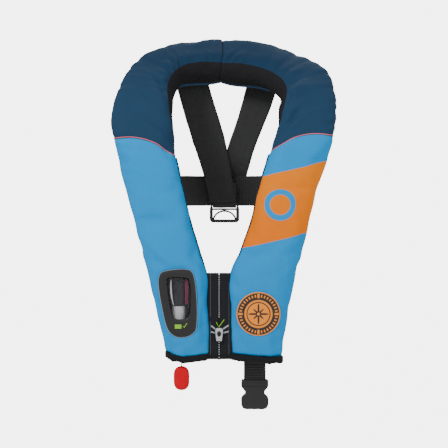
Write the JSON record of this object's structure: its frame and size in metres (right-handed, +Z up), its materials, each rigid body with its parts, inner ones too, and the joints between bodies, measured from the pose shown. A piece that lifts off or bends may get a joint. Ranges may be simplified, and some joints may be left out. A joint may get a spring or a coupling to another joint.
{
  "type": "inflatable life jacket",
  "caption": "Horseshoe inflatable life jacket with padded cover, zip front, inflator behind a window, pull toggle, harness and side-release belt buckle.",
  "frame": {"origin": "the point of the collar's inner wall that rests on the nape of the wearer's neck", "axes": "+Z up, +X towards the wearer's left, +Y towards the wearer's back"},
  "size_m": [0.392, 0.2839, 0.6755],
  "materials": {
    "navy_fabric": "woven nylon",
    "cyan_fabric": "woven nylon",
    "spacer_mesh": "open knit",
    "lining_fabric": "plain weave",
    "bladder_fabric": "coated",
    "coral_piping": "matt cord",
    "black_webbing": "smooth webbing",
    "ribbed_webbing": "ribbed webbing",
    "black_binding": "binding tape",
    "window_panel": "satin",
    "window_clear": "clear, glossy",
    "cylinder_steel": "satin",
    "inflator_plastic": "satin",
    "status_white": "satin",
    "zip_tape": "woven tape",
    "zip_teeth": "moulded",
    "zip_metal": "satin",
    "emblem_rubber": "printed, satin",
    "whistle_orange": "gloss",
    "toggle_red": "semi gloss",
    "white_cord": "braided cord",
    "ring_grey": "satin",
    "buckle_plastic": "fine grain"
  },
  "bodies": {
    "yoke": {"yoke_cover": "navy_fabric", "collar_liner": "spacer_mesh", "bladder_collar": "bladder_fabric", "seam_piping_right": "coral_piping", "seam_piping_left": "coral_piping", "harness_strap_right": "black_webbing", "harness_strap_left": "black_webbing", "back_belt_right": "black_webbing", "back_belt_left": "ribbed_webbing", "ring_loop": "black_webbing"},
    "right_lobe": {"right_lobe_cover": "cyan_fabric", "right_lobe_back": "lining_fabric", "bladder_right": "bladder_fabric", "right_hem_binding": "black_binding", "window_frame": "window_panel", "window_lens": "window_clear", "co2_cylinder": "cylinder_steel", "inflator_body": "inflator_plastic", "status_cap": "status_white", "lever_pin": "cylinder_steel", "right_zip_tape": "zip_tape", "right_zip_teeth": "zip_teeth", "zip_end_stop": "zip_metal", "belt_keeper_right": "black_webbing"},
    "left_lobe": {"left_lobe_cover": "cyan_fabric", "left_lobe_back": "lining_fabric", "bladder_left": "bladder_fabric", "left_hem_binding": "black_binding", "emblem_patch": "emblem_rubber", "oral_tube": "inflator_plastic", "oral_valve_cap": "inflator_plastic", "whistle": "whistle_orange", "left_zip_tape": "zip_tape", "left_zip_teeth": "zip_teeth", "belt_keeper_left": "black_webbing", "left_belt_webbing": "ribbed_webbing"},
    "zip_slider": {"zip_slider": "zip_metal"},
    "zip_puller": {"zip_puller": "zip_metal"},
    "lever": {"inflator_lever": "inflator_plastic"},
    "toggle": {"pull_toggle": "toggle_red", "pull_cord": "white_cord"},
    "crotch_ring": {"crotch_ring": "ring_grey"},
    "belt_end": {"belt_end_webbing": "ribbed_webbing", "buckle_female": "buckle_plastic"},
    "male_tail": {"right_belt_webbing": "black_webbing", "buckle_male": "buckle_plastic"},
    "adjuster": {"belt_adjuster": "buckle_plastic"},
    "prong_right": {"prong_right": "buckle_plastic"},
    "prong_left": {"prong_left": "buckle_plastic"}
  },
  "joints": [
    {"name": "right_lobe_swing", "type": "hinge", "parent": "yoke", "child": "right_lobe", "pos_m": [-0.16, -0.135, -0.135], "axis": [0, 1, 0], "range_deg": [0, 6]},
    {"name": "left_lobe_swing", "type": "hinge", "parent": "yoke", "child": "left_lobe", "pos_m": [0.163, -0.135, -0.132], "axis": [0, -1, 0], "range_deg": [0, 6]},
    {"name": "zip_slide", "type": "slide", "parent": "right_lobe", "child": "zip_slider", "axis": [0, 0, 1], "range_m": [0, 0.085]},
    {"name": "puller_flip", "type": "hinge", "parent": "zip_slider", "child": "zip_puller", "pos_m": [-0.005, -0.1481, -0.452], "axis": [-1, 0, 0], "range_deg": [0, 120]},
    {"name": "toggle_pull", "type": "slide", "parent": "right_lobe", "child": "toggle", "axis": [0, 0, -1], "range_m": [0, 0.018]},
    {"name": "lever_turn", "type": "hinge", "parent": "right_lobe", "child": "lever", "pos_m": [-0.0895, -0.1405, -0.448], "axis": [0, 1, 0], "range_deg": [0, 60]},
    {"name": "crotch_ring_swing", "type": "hinge", "parent": "yoke", "child": "crotch_ring", "pos_m": [0.0043, 0.048, -0.2325], "axis": [-1, 0, 0], "range_deg": [-25, 75]},
    {"name": "belt_end_swing", "type": "hinge", "parent": "left_lobe", "child": "belt_end", "pos_m": [0.057, -0.1065, -0.506], "axis": [-1, 0, 0], "range_deg": [-60, 60]},
    {"name": "male_tail_swing", "type": "hinge", "parent": "right_lobe", "child": "male_tail", "pos_m": [-0.083, -0.1045, -0.252], "axis": [1, 0, 0], "range_deg": [0, 60]},
    {"name": "adjuster_slide", "type": "slide", "parent": "male_tail", "child": "adjuster", "axis": [0, 0, 1], "range_m": [-0.025, 0.025]},
    {"name": "prong_right_squeeze", "type": "hinge", "parent": "male_tail", "child": "prong_right", "pos_m": [-0.096, -0.096, -0.4208], "axis": [0, -1, 0], "range_deg": [0, 10], "stiffness_Nm_per_rad": 0.05},
    {"name": "prong_left_squeeze", "type": "hinge", "parent": "male_tail", "child": "prong_left", "pos_m": [-0.07, -0.096, -0.4208], "axis": [0, 1, 0], "range_deg": [0, 10], "stiffness_Nm_per_rad": 0.05}
  ],
  "couplings": [
    {"joint": "right_lobe_swing", "follows": "zip_slide", "rad_per_m": 1.23},
    {"joint": "left_lobe_swing", "follows": "zip_slide", "rad_per_m": 1.23},
    {"joint": "lever_turn", "follows": "toggle_pull", "rad_per_m": 58.1},
    {"joint": "prong_left_squeeze", "follows": "prong_right_squeeze", "ratio": 1}
  ]
}
